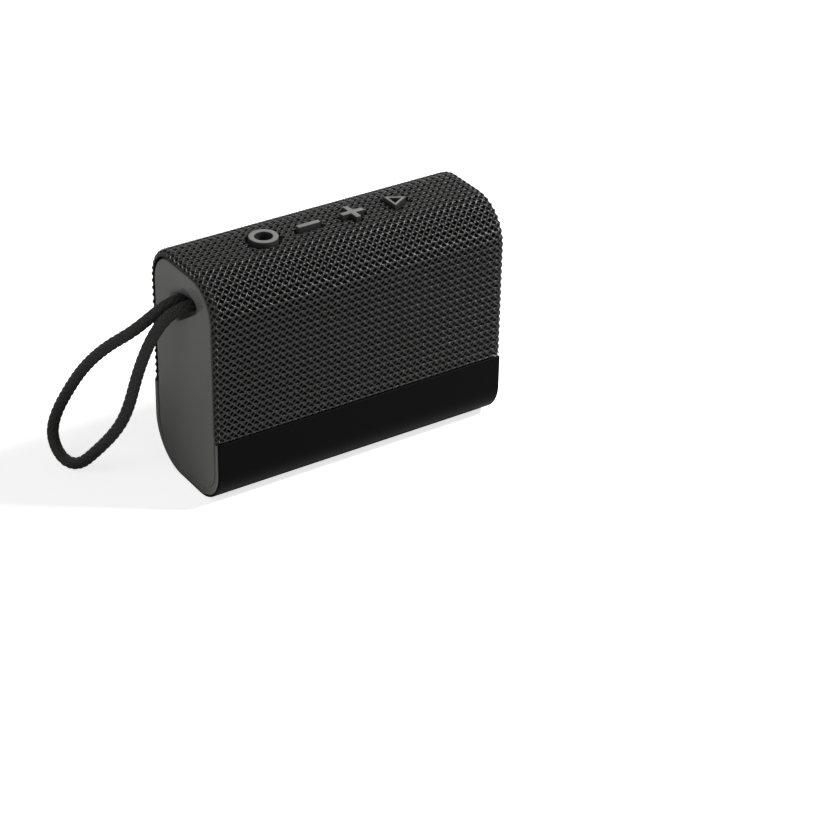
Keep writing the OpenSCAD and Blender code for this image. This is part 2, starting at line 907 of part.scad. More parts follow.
module radiator_frame() {
    color([0.2, 0.2, 0.21])
        driver_ring(box_back_y, box_back_y + radiator_frame_t, driver_r, roll_out_r);
}

module radiator_surround() {
    color([0.12, 0.12, 0.12])
        roll(box_back_y + radiator_frame_t + 0.02, (roll_in_r + roll_out_r) / 2, 1);
}

module radiator_plate() {
    plate_back_y = box_back_y + radiator_frame_t;
    color([0.3, 0.3, 0.3]) {
        driver_ring(plate_back_y - radiator_t, plate_back_y, roll_in_r, 0);
        driver_ring(box_back_y - 0.8, plate_back_y - radiator_t + 0.1, radiator_weight_r, 0);
    }
}

// ---- Fasteners ----

module shell_screws() {
    color([0.65, 0.65, 0.65]) for (x = [-boss_x, boss_x], z = boss_z) {
        rod_y([x, z], screw_head_y, screw_head_y + 1.3, screw_head_r);
        rod_y([x, z], -12, screw_head_y + 0.1, screw_r);
    }
}

// ---- Charging port ----

module flap_window() {
    box([port_x - flap_w / 2 - window_gap - ear_w, half_depth - cavity_in - 2, hinge_z - 2 * bead_r],
        [port_x + flap_w / 2 + window_gap + ear_w, half_depth + 1, hinge_z + flap_h + window_gap]);
}

module port_bezel() {
    back_y = half_depth - cavity_in + 0.05;
    face_y = hinge_y - bead_r - 0.3;
    ear_x = flap_w / 2 + window_gap;
    color([0.14, 0.14, 0.14]) difference() {
        union() {
            box([port_x - flap_w / 2 - 1.8, back_y, hinge_z - 4.2],
                [port_x + flap_w / 2 + 1.8, face_y, hinge_z + flap_h - 0.2]);
            for (side = [-1, 1]) translate([port_x + side * (ear_x + ear_w / 2), 0, 0]) {
                box([-ear_w / 2 + 0.05, back_y, hinge_z - 1.1],
                    [ear_w / 2 - 0.05, hinge_y, hinge_z + 1.1]);
                rod_x([hinge_y, hinge_z], -ear_w / 2 + 0.05, ear_w / 2 - 0.05, bead_r);
            }
        }
        rod_x([hinge_y, hinge_z], port_x - flap_w, port_x + flap_w, pin_r);
        box([port_x - 5, back_y - 1, port_z - 2.1], [port_x + 5, half_depth, port_z + 2.1]);
    }
}

module port_flap() {
    x0 = port_x - flap_w / 2;
    x1 = port_x + flap_w / 2;
    face_y = half_depth;
    color([0.06, 0.06, 0.06]) difference() {
        union() {
            box([x0, face_y - flap_t, hinge_z], [x1, face_y, hinge_z + flap_h]);
            rod_x([hinge_y, hinge_z], x0, x1, bead_r);
            box([port_x - 4, face_y - flap_t - 1, port_z - 1.1],
                [port_x + 4, face_y - flap_t + 0.1, port_z + 1.1]);
        }
        rod_x([hinge_y, hinge_z], x0 - 1, x1 + 1, pin_r + pin_clearance);
    }
}

module flap_pin() {
    ear_x = flap_w / 2 + window_gap + ear_w - 0.05;
    color([0.7, 0.7, 0.7])
        rod_x([hinge_y, hinge_z], port_x - ear_x, port_x + ear_x, pin_r);
}

fabric_cover();
base_band();
front_shell();
rear_shell();
left_end_frame();
right_end_frame();
left_end_cap();
right_end_cap();
left_cap_seal();
right_cap_seal();
strap_cord();
strap_anchor();
power_button();
volume_down_button();
volume_up_button();
play_button();
keypad_seal();
button_board();
tact_switches();
status_led();
microphone();
ribbon_cable();
main_board();
usb_port();
bluetooth_module();
amplifier_chip();
wire_connectors();
board_screws();
battery_cell();
battery_cradle();
battery_tabs();
battery_leads();
sound_box_front();
sound_box_rear();
sound_box_seal();
driver_gasket();
driver_basket();
driver_surround();
driver_cone();
dust_cap();
voice_coil();
driver_spider();
top_plate();
driver_magnet();
driver_yoke();
driver_screws();
driver_leads();
radiator_frame();
radiator_surround();
radiator_plate();
shell_screws();
port_bezel();
port_flap();
flap_pin();
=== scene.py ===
# %% [markdown]
# # Shower speaker
# A small splash-proof speaker: a rounded box wrapped in open mesh fabric, with a rubber band round
# its base, a satin cap at each end, four keys in its top and a braided wrist strap.
# The frame brings in the construction model, so that every piece made here sits where it must.
# Lengths are in millimetres until the last step, because the parts are small.

# %% Open the construction model
import json
import math

import bmesh
import bpy
import numpy as np
from mathutils import Matrix, Vector


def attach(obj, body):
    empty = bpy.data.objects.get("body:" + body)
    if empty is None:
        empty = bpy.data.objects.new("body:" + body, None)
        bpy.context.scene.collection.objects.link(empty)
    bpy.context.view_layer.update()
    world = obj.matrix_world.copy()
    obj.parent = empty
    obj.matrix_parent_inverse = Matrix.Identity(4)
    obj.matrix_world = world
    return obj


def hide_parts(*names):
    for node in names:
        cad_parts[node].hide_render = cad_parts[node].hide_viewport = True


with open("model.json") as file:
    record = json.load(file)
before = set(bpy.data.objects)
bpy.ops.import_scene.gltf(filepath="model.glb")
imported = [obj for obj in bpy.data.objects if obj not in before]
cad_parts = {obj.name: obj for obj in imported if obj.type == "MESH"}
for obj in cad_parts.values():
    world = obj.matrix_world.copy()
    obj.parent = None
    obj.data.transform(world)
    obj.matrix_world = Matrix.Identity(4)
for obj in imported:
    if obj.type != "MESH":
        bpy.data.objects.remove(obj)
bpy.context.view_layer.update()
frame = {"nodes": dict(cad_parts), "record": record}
scene = bpy.context.scene
MM = 0.001

# %% [markdown]
# ## Camera
# The lens is long and the camera looks down by about thirty degrees from the front left, so the left
# cap, the front and the top all show. Its axes and place are written as worked out for the real size.

# %% Camera
right = Vector((0.8322, -0.5542, 0.0194))
up = Vector((0.2750, 0.4429, 0.8534))
backwards = Vector((-0.4815, -0.7048, 0.5209))
camera_data = bpy.data.cameras.new("camera")
camera_data.sensor_width = 36
camera_data.lens = 109.63
camera_data.clip_start, camera_data.clip_end = 0.05, 20
camera = bpy.data.objects.new("camera", camera_data)
scene.collection.objects.link(camera)
camera.matrix_world = Matrix.Translation((-0.3623, -0.5804, 0.4235)) @ Matrix(
    (right, up, backwards)
).transposed().to_4x4()
scene.camera = camera
print("camera height mm:", round(camera.matrix_world.translation.z / MM))

# %% [markdown]
# ## Tubes
# Yarn, thread and cord are all round strands that follow a line. One helper sweeps a ring of points
# along a line, square to the line's direction, and closes both ends. It takes many strands at once
# and makes one mesh from them, because a mesh of tens of thousands of faces is slow to build by hand.


# %% Strands along lines
def strands(lines, normals, radii, sides):
    """Points and faces of strands. Each line is an array of points, with a normal and a radius each."""
    points, quads, caps, at = [], [], [], 0
    turn = np.arange(sides) * 2 * math.pi / sides
    for line, normal, radius in zip(lines, normals, radii):
        count = len(line)
        radius = np.broadcast_to(radius, count)[:, None, None]
        along = np.gradient(line, axis=0)
        along /= np.linalg.norm(along, axis=1)[:, None]
        side = np.cross(along, normal)
        side /= np.linalg.norm(side, axis=1)[:, None]
        out = np.cross(side, along)
        ring = (
            line[:, None]
            + radius * np.cos(turn)[None, :, None] * side[:, None]
            + radius * np.sin(turn)[None, :, None] * out[:, None]
        )
        points.append(ring.reshape(-1, 3))
        i = np.arange(count - 1)[:, None] * sides
        j = np.arange(sides)[None, :]
        k = (j + 1) % sides
        quads.append(
            np.stack([i + j, i + k, i + sides + k, i + sides + j], -1).reshape(-1, 4) + at
        )
        caps += [list(range(at + sides - 1, at - 1, -1))]
        caps += [list(range(at + (count - 1) * sides, at + count * sides))]
        at += count * sides
    return np.concatenate(points), np.concatenate(quads), caps


def mesh_piece(name, points, quads, caps=()):
    """A smooth mesh object from points in millimetres, four-cornered faces and any other faces."""
    mesh = bpy.data.meshes.new(name)
    caps = list(caps)
    corners = np.concatenate([quads.ravel(), *[np.array(c) for c in caps]]).astype(np.int32)
    sizes = np.concatenate(
        [np.full(len(quads), 4), np.array([len(c) for c in caps], int)]
    ).astype(np.int32)
    mesh.vertices.add(len(points))
    mesh.vertices.foreach_set("co", (points * MM).astype(np.float32).ravel())
    mesh.loops.add(len(corners))
    mesh.loops.foreach_set("vertex_index", corners)
    mesh.polygons.add(len(sizes))
    starts = np.concatenate([[0], np.cumsum(sizes)[:-1]]).astype(np.int32)
    mesh.polygons.foreach_set("loop_start", starts)
    mesh.polygons.foreach_set("use_smooth", np.ones(len(sizes), bool))
    mesh.update(calc_edges=True)
    mesh.validate()
    piece = bpy.data.objects.new(name, mesh)
    scene.collection.objects.link(piece)
    return piece


# %% [markdown]
# ## Wrist strap
# The strap is one length of round braided cord. It leaves the scooped pocket in the left cap, runs
# down beside the speaker, lies on the table at its tip and comes back up into the pocket.
# A smooth curve through a few points gives its route. Two sets of threads are wound round it in
# opposite directions and pass over and under each other, as on a braiding machine, over a plain core.

# %% Route of the strap
strap_points = [
    (-42, 2.5, 62), (-47, 2.5, 62), (-51.5, 2.5, 62), (-56, 3, 60.5), (-60, 5, 56.5),
    (-64, 8.5, 51.5), (-67.5, 14, 46.5), (-70.5, 20, 40), (-73, 25.5, 32.5), (-75, 30, 24.5),
    (-77, 34, 16.5), (-79, 35.5, 8.5), (-79, 31.5, 3), (-78, 26, 1.5), (-76, 21, 3.5),
    (-74, 16.5, 9), (-70.5, 12, 15.5), (-67.5, 8.5, 22.5), (-66, 6, 30.5), (-65, 4, 38.5),
    (-63.5, 1.5, 47), (-61, -0.5, 54.5), (-57, -1.5, 60), (-52, -2.5, 62), (-47, -2.5, 62),
    (-42, -2.5, 62),
]  # fmt: skip


def smooth_route(points, spacing):
    """A uniform cubic B-spline that starts and ends at its end points, in steps of about spacing."""
    p = np.array(points, float)
    p = np.vstack([2 * p[0] - p[1], p, 2 * p[-1] - p[-2]])
    t = np.linspace(0, 1, 60, endpoint=False)[:, None]
    weights = [
        (1 - t) ** 3,
        3 * t**3 - 6 * t**2 + 4,
        -3 * t**3 + 3 * t**2 + 3 * t + 1,
        t**3,
    ]
    pieces = [
        sum(w * p[i + k] for k, w in enumerate(weights)) / 6 for i in range(len(p) - 3)
    ]
    dense = np.vstack([*pieces, (p[-3] + 4 * p[-2] + p[-1]) / 6])
    walked = np.concatenate([[0], np.cumsum(np.linalg.norm(np.diff(dense, axis=0), axis=1))])
    steps = np.linspace(0, walked[-1], int(walked[-1] / spacing) + 1)
    return np.stack([np.interp(steps, walked, dense[:, k]) for k in range(3)], 1), walked[-1]


strap_route, strap_length = smooth_route(strap_points, 0.25)
print("strap length mm:", round(strap_length, 1))

# %% Braid the strap
strap_radius = 1.9
thread_count, thread_pitch, thread_radius, thread_lift = 12, 15.0, 0.26, 0.09


def carried_frame(line):
    """Two directions square to a line at each point, turning as little as they can along it."""
    along = np.gradient(line, axis=0)
    along /= np.linalg.norm(along, axis=1)[:, None]
    first = np.zeros_like(line)
    guess = np.cross(along[0], (0, 0, 1.0))
    for i, direction in enumerate(along):
        guess = guess - direction * (guess @ direction)
        guess /= np.linalg.norm(guess)
        first[i] = guess
    return first, np.cross(along, first)


across_a, across_b = carried_frame(strap_route)
travelled = np.linspace(0, strap_length, len(strap_route))
thread_lines, thread_normals = [], []
for way in (1, -1):
    for n in range(thread_count):
        angle = way * 2 * math.pi * travelled / thread_pitch + 2 * math.pi * n / thread_count
        start = math.pi * n + (0 if way > 0 else math.pi)
        wave = np.sin(thread_count * 2 * math.pi * travelled / thread_pitch + start)
        outward = np.cos(angle)[:, None] * across_a + np.sin(angle)[:, None] * across_b
        reach = strap_radius - thread_radius - thread_lift + thread_lift * wave
        thread_lines.append(strap_route + outward * reach[:, None])
        thread_normals.append(outward)
strap_mesh = [strands(thread_lines, thread_normals, [thread_radius] * len(thread_lines), 5)]
core = strands([strap_route[::4]], [across_a[::4]], [strap_radius - 0.3], 16)
points = np.concatenate([strap_mesh[0][0], core[0]])
shift = len(strap_mesh[0][0])
quads = np.concatenate([strap_mesh[0][1], core[1] + shift])
caps = strap_mesh[0][2] + [[i + shift for i in c] for c in core[2]]
strap = mesh_piece("strap_braid", points, quads, caps)
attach(strap, "housing")
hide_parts("strap_cord")
print("strap faces:", len(strap.data.polygons))

# %% [markdown]
# ## Outline of the body
# Front, top, back and underside are flat strips joined by four bends of different radii. The fabric,
# the band and the caps all follow this line, so it is written once: the place and the outward
# direction at a distance along it, measured from the top of the front's lower bend, up and over.

# %% Outline of the body
body_height, half_depth = 75.4, 19.5
top_front, top_back, bottom_back, bottom_front = 14, 12.5, 15, 12
half_turn = math.pi / 2
front_height = body_height - top_front - bottom_front
back_height = body_height - top_back - bottom_back
top_depth = 2 * half_depth - top_front - top_back
under_depth = 2 * half_depth - bottom_front - bottom_back
outline_parts = [
    # kind, start or centre, direction or radius, first outward angle, length of a line
    ("line", (-half_depth, bottom_front), (0, 1), math.pi, front_height),
    ("arc", (top_front - half_depth, body_height - top_front), top_front, math.pi, None),
    ("line", (top_front - half_depth, body_height), (1, 0), half_turn, top_depth),
    ("arc", (half_depth - top_back, body_height - top_back), top_back, half_turn, None),
    ("line", (half_depth, body_height - top_back), (0, -1), 0, back_height),
    ("arc", (half_depth - bottom_back, bottom_back), bottom_back, 0, None),
    ("line", (half_depth - bottom_back, 0), (-1, 0), -half_turn, under_depth),
    ("arc", (bottom_front - half_depth, bottom_front), bottom_front, -half_turn, None),
]
outline_parts = [(*p[:4], p[2] * half_turn if p[4] is None else p[4]) for p in outline_parts]
outline_length = sum(part[4] for part in outline_parts)


def outline(s, out=0.0):
    """Places (y, z) at distances s along the outline, moved outward by out, and outward directions."""
    s = np.asarray(s, float) % outline_length
    place, normal = np.zeros((*s.shape, 2)), np.zeros((*s.shape, 2))
    start = 0.0
    for kind, at, size, angle, length in outline_parts:
        here = (s >= start) & (s <= start + length)
        walked = (s - start)[here]
        if kind == "line":
            place[here] = np.array(at) + walked[:, None] * np.array(size)
            normal[here] = (math.cos(angle), math.sin(angle))
        else:
            turned = angle - walked / size
            normal[here] = np.stack([np.cos(turned), np.sin(turned)], -1)
            place[here] = np.array(at) + size * normal[here]
        start += length
    return place + normal * np.asarray(out)[..., None], normal


print("outline mm:", round(outline_length, 1))

# %% [markdown]
# ## Mesh fabric
# The fabric is an open knit of three sets of yarns. One set runs straight along the speaker, 2.4 mm
# apart. The other two cross it slantwise, one falling and one rising, and pass over it half a pitch
# from each other, so that a small bead stands where each slanting yarn climbs over a straight one,
# and two holes stay open between each pair of beads. Every yarn is modelled, because the holes and
# the shadows in them are what the eye sees. Points are given as distance along the speaker,
# distance along its outline and height, and a mapping wraps them round the body and rolls them in
# at both ends.

# %% Wrap the fabric round the body
flat_half, roll_radius, roll_angle = 49.2, 2.2, 1.5
band_front, band_back = 23, 27
fabric_start = band_front - bottom_front
top_start = front_height + top_front * half_turn
back_start = top_start + top_depth + top_back * half_turn
fabric_end = back_start + body_height - top_back - band_back
row_count, column_count = 53, 44
column_pitch = 2 * (flat_half + roll_radius * roll_angle) / column_count


def wrapped(u, s, h):
    """Places and outward directions on the body for points along it, round it and above it."""
    beyond = np.clip((np.abs(u) - flat_half) / roll_radius, 0, None)
    x = np.sign(u) * (
        np.minimum(np.abs(u), flat_half) + (roll_radius + h) * np.sin(beyond)
    )
    out = (roll_radius + h) * np.cos(beyond) - roll_radius
    place, normal = outline(s, out)
    tilt = np.stack(
        [
            np.sign(u) * np.sin(beyond),
            normal[..., 0] * np.cos(beyond),
            normal[..., 1] * np.cos(beyond),
        ],
        -1,
    )
    return np.stack([x, place[..., 0], place[..., 1]], -1), tilt


# %% Knit the fabric
key_pitch, key_y = 15.4, 0.0
key_x = [key_pitch * (n - 1.5) for n in range(4)]
ring_radius, sign_half, stroke_half, fabric_gap = 4.55, 3.9, 0.9, 0.75
play_radius, play_half, sine_60 = 4.1, 2.05, 0.866


def in_key(u, s):
    """Which of these points of the fabric lie over a key, whose shape is cut out of it."""
    y = s - top_start - (half_depth - top_front) - key_y
    ring, minus, plus, play = [u - x for x in key_x]
    cut = np.hypot(ring, y) < ring_radius + fabric_gap
    for x in (minus, plus):
        cut |= (np.abs(x) < sign_half + fabric_gap) & (np.abs(y) < stroke_half + fabric_gap)
    cut |= (np.abs(plus) < stroke_half + fabric_gap) & (np.abs(y) < sign_half + fabric_gap)
    side = np.maximum(-play, np.maximum(play / 2 + y * sine_60, play / 2 - y * sine_60))
    cut |= side < play_half + fabric_gap
    return cut


def runs(kept):
    """The unbroken runs of True in an array, as slices of at least four."""
    edges = np.flatnonzero(np.diff(np.concatenate([[0], kept.astype(int), [0]])))
    return [slice(a, b) for a, b in zip(edges[::2], edges[1::2]) if b - a >= 4]


def eased(value):
    value = np.clip(value, 0, 1)
    return value * value * (3 - 2 * value)


slant_thin, slant_thick, slant_low, slant_high, slant_steps = 0.22, 0.28, 0.62, 0.28, 8
straight_radius, straight_depth, straight_steps = 0.24, 0.68, 3
hem = 0.45
row_pitch = (fabric_end - fabric_start - 2 * hem) / row_count
half_length = column_count * column_pitch / 2


def yarns(first, last):
    """The yarns of some rows of the knit: straight ones, and the two slanting sets."""
    lines, normals, radii = [], [], []

    def lay(u, s, h, radius):
        place, normal = wrapped(u, s, h)
        for run in runs((np.abs(u) <= half_length + 0.01) & ~in_key(u, s)):
            lines.append(place[run])
            normals.append(normal[run])
            radii.append(np.broadcast_to(radius, len(u))[run])

    u = np.linspace(-half_length, half_length, column_count * straight_steps + 1)
    for row in range(first, last + (last == row_count)):
        s_row = fabric_start + hem + row * row_pitch
        lay(u, np.full_like(u, s_row), np.full_like(u, -straight_depth), straight_radius)
    rows = np.arange((last - first) * slant_steps + 1) / slant_steps
    s = fabric_start + hem + row_pitch * (first + rows)
    climb = (1 + np.cos(2 * math.pi * rows)) / 2
    for slope, start in ((-1, 0.0), (1, 0.5)):
        for n in range(first - last - 1, column_count + last - first + 1):
            u = (n + start + slope * rows) * column_pitch - half_length
            lay(
                u,
                s,
                -slant_low + (slant_low - slant_high) * climb,
                slant_thin + (slant_thick - slant_thin) * climb,
            )
    return strands(lines, normals, radii, 6)


fabric_pieces = []
for name, first, last in (("front", 0, 18), ("top", 18, 36), ("back", 36, row_count)):
    piece = mesh_piece(f"fabric_{name}", *yarns(first, last))
    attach(piece, "housing")
    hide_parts("fabric_cover")
    fabric_pieces.append(piece)
    print(piece.name, "faces:", len(piece.data.polygons))

# %% [markdown]
# ## Moulded skins
# The band and the caps are moulded parts with soft edges. Each is a slab: a fine sheet of points, a
# second sheet below it, and walls wherever the sheet ends or has a window. The height of the upper
# sheet falls away near an edge along a quarter circle, which gives the rounded lip of a moulding.


# %% Slabs with rounded edges
def fall(edge, radius):
    """How far a rounded edge drops at a distance from it."""
    near = np.clip(1 - np.asarray(edge) / radius, 0, 1)
    return radius * (1 - np.sqrt(1 - near**2))


def toward_edges(low, high, radius, step):
    """Places from low to high in even steps, closer together within radius of both ends."""
    close = radius * (1 - np.cos(np.linspace(0, half_turn, 5)))
    middle = np.linspace(low + radius, high - radius, max(2, int((high - low) / step)))
    return np.concatenate([low + close[:-1], middle, (high - close[:-1])[::-1]])


def slab(upper, lower, keep):
    """Points and faces of a closed slab between two grids of points, only where keep is true."""
    rows, columns = keep.shape[0] + 1, keep.shape[1] + 1
    index = np.arange(rows * columns).reshape(rows, columns)
    below = index + rows * columns
    a, b = index[:-1, :-1], index[1:, :-1]
    c, d = index[1:, 1:], index[:-1, 1:]
    shift = rows * columns
    faces = [
        np.stack([a, b, c, d], -1)[keep],
        np.stack([a, d, c, b], -1)[keep] + shift,
    ]
    padded = np.pad(keep, 1)
    inside = padded[1:-1, 1:-1]
    for neighbour, first, second in (
        (padded[:-2, 1:-1], d, a),
        (padded[2:, 1:-1], b, c),
        (padded[1:-1, :-2], a, b),
        (padded[1:-1, 2:], c, d),
    ):
        wall = inside & ~neighbour
        p, q = first[wall], second[wall]
        faces.append(np.stack([q, p, p + shift, q + shift], -1))
    points = np.concatenate([upper.reshape(-1, 3), lower.reshape(-1, 3)])
    faces = np.concatenate(faces)
    used, faces = np.unique(faces, return_inverse=True)
    return points[used], faces.reshape(-1, 4)


def soft_piece(name, parts, body, node, angle=35):
    """One object from several sets of points and faces, smooth except at its sharp corners."""
    points, quads, at = [], [], 0
    for part_points, part_quads in parts:
        points.append(part_points)
        quads.append(part_quads + at)
        at += len(part_points)
    piece = mesh_piece(name, np.concatenate(points), np.concatenate(quads))
    mesh = bmesh.new()
    mesh.from_mesh(piece.data)
    bmesh.ops.recalc_face_normals(mesh, faces=mesh.faces)
    mesh.to_mesh(piece.data)
    mesh.free()
    piece.data.set_sharp_from_angle(angle=math.radians(angle))
    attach(piece, body)
    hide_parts(node)
    return piece


# %% [markdown]
# ## Lining
# A thin black lining lies behind the open mesh. It hides the shell through the holes and follows the
# roll at both ends, where it comes up between the yarns, because the pulled fabric is dense there.
# It has the same windows for the keys.

# %% Lining behind the mesh
u = np.linspace(-half_length, half_length, 240)
s = np.linspace(fabric_start + 0.3, fabric_end - 0.3, 280)
grid_u, grid_s = np.meshgrid(u, s, indexing="ij")
middle_u, middle_s = np.meshgrid((u[1:] + u[:-1]) / 2, (s[1:] + s[:-1]) / 2, indexing="ij")
lining_flat, lining_rolled, lining_back = 1.03, 0.62, 1.15
lining_depth = np.interp(
    np.abs(grid_u), [flat_half - 1.5, flat_half], [lining_flat, lining_rolled]
)
lining = soft_piece(
    "fabric_lining",
    [
        slab(
            wrapped(grid_u, grid_s, -lining_depth)[0],
            wrapped(grid_u, grid_s, np.full_like(grid_u, -lining_back))[0],
            ~in_key(middle_u, middle_s),
        )
    ],
    "housing",
    "fabric_cover",
)
print("lining faces:", len(lining.data.polygons))

# %% [markdown]
# ## Base band
# A black rubber band covers the lowest part of the front and back and the whole underside. It stands
# a little proud of the fabric's lower edge, and its ends lap over the rims of the end caps. A window
# in its back leaves room for the flap of the charging port.

# %% Base band
band_end, band_lap, band_thick, band_edge = 50.8, 49.6, 1.8, 0.35
band_top_s, band_low_s = outline_length + fabric_start - 0.15, fabric_end + 0.15
port_x, flap_half, hinge_z, flap_height = 24.0, 7.5, 18.4, 7.6
window_x = (port_x - flap_half - 1.6, port_x + flap_half + 1.6)
window_s = [
    back_start + body_height - top_back - z
    for z in (hinge_z + flap_height + 0.3, hinge_z - 1.6)
]
xs = np.sort(
    np.concatenate([toward_edges(-band_end, band_end, 0.5, 2), window_x, (-band_lap, band_lap)])
)
ss = np.sort(np.concatenate([toward_edges(band_low_s, band_top_s, 0.5, 0.8), window_s]))
grid_x, grid_s = np.meshgrid(xs, ss, indexing="ij")
middle_x, middle_s = (xs[1:] + xs[:-1]) / 2, (ss[1:] + ss[:-1]) / 2
in_window = ((middle_x > window_x[0]) & (middle_x < window_x[1]))[:, None] & (
    (middle_s > window_s[0]) & (middle_s < window_s[1])
)[None, :]
drop = fall(band_end - np.abs(grid_x), band_edge) + fall(
    np.minimum(band_top_s - grid_s, grid_s - band_low_s), band_edge
)


def on_body(x, s, out):
    place, _ = outline(s, out)
    return np.concatenate([x[..., None], place], -1)


upper = on_body(grid_x, grid_s, -drop)
thick = np.where(np.abs(grid_x) > band_lap - 0.01, 0.6, band_thick)
band = soft_piece(
    "base_band_skin",
    [slab(upper, on_body(grid_x, grid_s, -thick), ~in_window)],
    "housing",
    "base_band",
)
print("band faces:", len(band.data.polygons))

# %% [markdown]
# ## End caps
# Each cap is a satin plate, very slightly domed, with a soft edge. Its lower part has a rim that
# closes the end of the band, with a fine groove between plate and rim that runs out at the bottom.
# The left plate has a scooped pocket for the strap: its lower edge is crisp, its upper side slopes
# away gently, and it gets shallower and narrower towards the top front corner.

# %% Cap plates
cap_face, cap_inset, cap_edge = 51.0, 2.9, 0.45
dome_height, dome_z, dome_half = 0.12, 37, 38
pocket_y, pocket_z, pocket_slope = 1.5, 60.5, math.radians(32.6)


def plate_grid(inset):
    """A grid of (y, z) that fills the body's outline moved in by inset, with its rows along Y."""
    s = np.linspace(0, outline_length, 4000, endpoint=False)
    place, _ = outline(s, np.full(len(s), -inset))
    low, high = inset, body_height - inset
    angle = np.linspace(0, math.pi, 220)
    even = np.linspace(low, high, 220)
    z = 0.5 * even + 0.5 * (low + (high - low) * (1 - np.cos(angle)) / 2)
    front = place[place[:, 0] < 0]
    back = place[place[:, 0] >= 0]
    order = np.argsort(front[:, 1])
    y_front = np.interp(z, front[order, 1], front[order, 0])
    order = np.argsort(back[:, 1])
    y_back = np.interp(z, back[order, 1], back[order, 0])
    y_front[0], y_back[0] = bottom_front - half_depth, half_depth - bottom_back
    y_front[-1], y_back[-1] = top_front - half_depth, half_depth - top_back
    t = np.linspace(0, 1, 121)
    t = 0.6 * t + 0.4 * (1 - np.cos(math.pi * t)) / 2
    y = y_front[:, None] + (y_back - y_front)[:, None] * t[None, :]
    return y, np.repeat(z[:, None], len(t), 1)


def from_edge(y, z, inset):
    """How far each point of a plate is from the plate's edge."""
    centres = [
        (top_front - half_depth, body_height - top_front, top_front, -1, 1),
        (half_depth - top_back, body_height - top_back, top_back, 1, 1),
        (half_depth - bottom_back, bottom_back, bottom_back, 1, -1),
        (bottom_front - half_depth, bottom_front, bottom_front, -1, -1),
    ]
    far = np.minimum(half_depth - np.abs(y), np.minimum(body_height - z, z))
    for cy, cz, radius, side_y, side_z in centres:
        corner = ((y - cy) * side_y > 0) & ((z - cz) * side_z > 0)
        far = np.where(corner, radius - np.hypot(y - cy, z - cz), far)
    return np.clip(far - inset, 0, None)


def pocket_depth(y, z):
    """Depth of the strap pocket below the plate at each point."""
    along = -(y - pocket_y) * math.cos(pocket_slope) + (z - pocket_z) * math.sin(pocket_slope)
    across = (y - pocket_y) * math.sin(pocket_slope) + (z - pocket_z) * math.cos(pocket_slope)
    half = np.interp(along, [-4, 8, 17], [4.1, 3.9, 2.4])
    deepest = np.interp(
        along, [-4.3, -3.2, -1.5, 6.0, 6.6, 9, 13, 16.5], [0, 2.6, 4.6, 4.6, 2.0, 1.7, 1.0, 0]
    )
    lower = np.clip((across + half) / (0.55 * half), 0, 1)
    upper = np.clip((1.35 * half - across) / (1.7 * half), 0, 1)
    shape = np.sqrt(np.clip(1 - (1 - lower) ** 2, 0, 1)) * eased(upper)
    return deepest * shape


def cap(side, parts_name, node, pocket):
    y, z = plate_grid(cap_inset)
    edge = from_edge(y, z, cap_inset)
    dome = dome_height * (1 - (y / half_depth) ** 2) * (1 - ((z - dome_z) / dome_half) ** 2)
    depth = fall(edge, cap_edge) - dome
    if pocket:
        depth = depth + pocket_depth(y, z)
    x = side * (cap_face - depth)
    upper = np.stack([x, y, z], -1)
    under = np.maximum(depth + 1.0, 1.4)
    lower = np.stack([side * (cap_face - under), y, z], -1)
    keep = np.ones((y.shape[0] - 1, y.shape[1] - 1), bool)
    parts = [slab(upper, lower, keep)]
    rim_out, rim_in = 0.75, 1.85
    s = np.linspace(fabric_end + 0.6, outline_length + fabric_start - 0.6, 260)
    rounding = 0.4 * (1 - np.cos(np.linspace(0, half_turn, 5)))
    across = np.concatenate([rim_out + rounding, [1.3, 1.4], (rim_in - rounding / 2)[::-1]])
    inner = np.interp(
        outline(s)[0][:, 1], [3, 7, 13, 23], [cap_inset + 0.15, 2.5, 2.2, 1.85]
    )
    grid_s, grid_i = np.meshgrid(s, across, indexing="ij")
    grid_i = grid_i + (inner - rim_in)[:, None] * np.clip((across - 1.3) / (rim_in - 1.3), 0, 1)
    drop = fall(grid_i - rim_out, 0.4) + fall(inner[:, None] - grid_i, 0.2)
    face = on_body(side * (cap_face - drop), grid_s, -grid_i)
    back = on_body(np.full_like(grid_s, side * (cap_face - 0.7)), grid_s, -grid_i)
    parts.append(slab(face, back, np.ones((len(s) - 1, len(across) - 1), bool)))
    return soft_piece(parts_name, parts, "housing", node)


left_cap = cap(-1, "left_cap_plate", "left_end_cap", True)
right_cap = cap(1, "right_cap_plate", "right_end_cap", False)
print("left cap faces:", len(left_cap.data.polygons))

# %% [markdown]
# ## Keys
# Four keys stand a millimetre above the fabric: a ring, a minus, a plus and a triangle. Each has a grey
# top, side walls coloured near black as painted shade, slightly rounded edges and a flange below that
# keeps it in.


# %% Key shapes
def rounded(corners, radius, steps=4):
    """A closed outline with each corner replaced by a small arc."""
    corners = np.array(corners, float)
    points = []
    for before, corner, after in zip(np.roll(corners, 1, 0), corners, np.roll(corners, -1, 0)):
        to_before = (before - corner) / np.linalg.norm(before - corner)
        to_after = (after - corner) / np.linalg.norm(after - corner)
        half_angle = math.acos(np.clip(to_before @ to_after, -1, 1)) / 2
        reach = radius / math.tan(half_angle)
        a, b = corner + to_before * reach, corner + to_after * reach
        for t in np.linspace(0, 1, steps):
            points.append((1 - t) ** 2 * a + 2 * t * (1 - t) * corner + t**2 * b)
    return np.array(points)


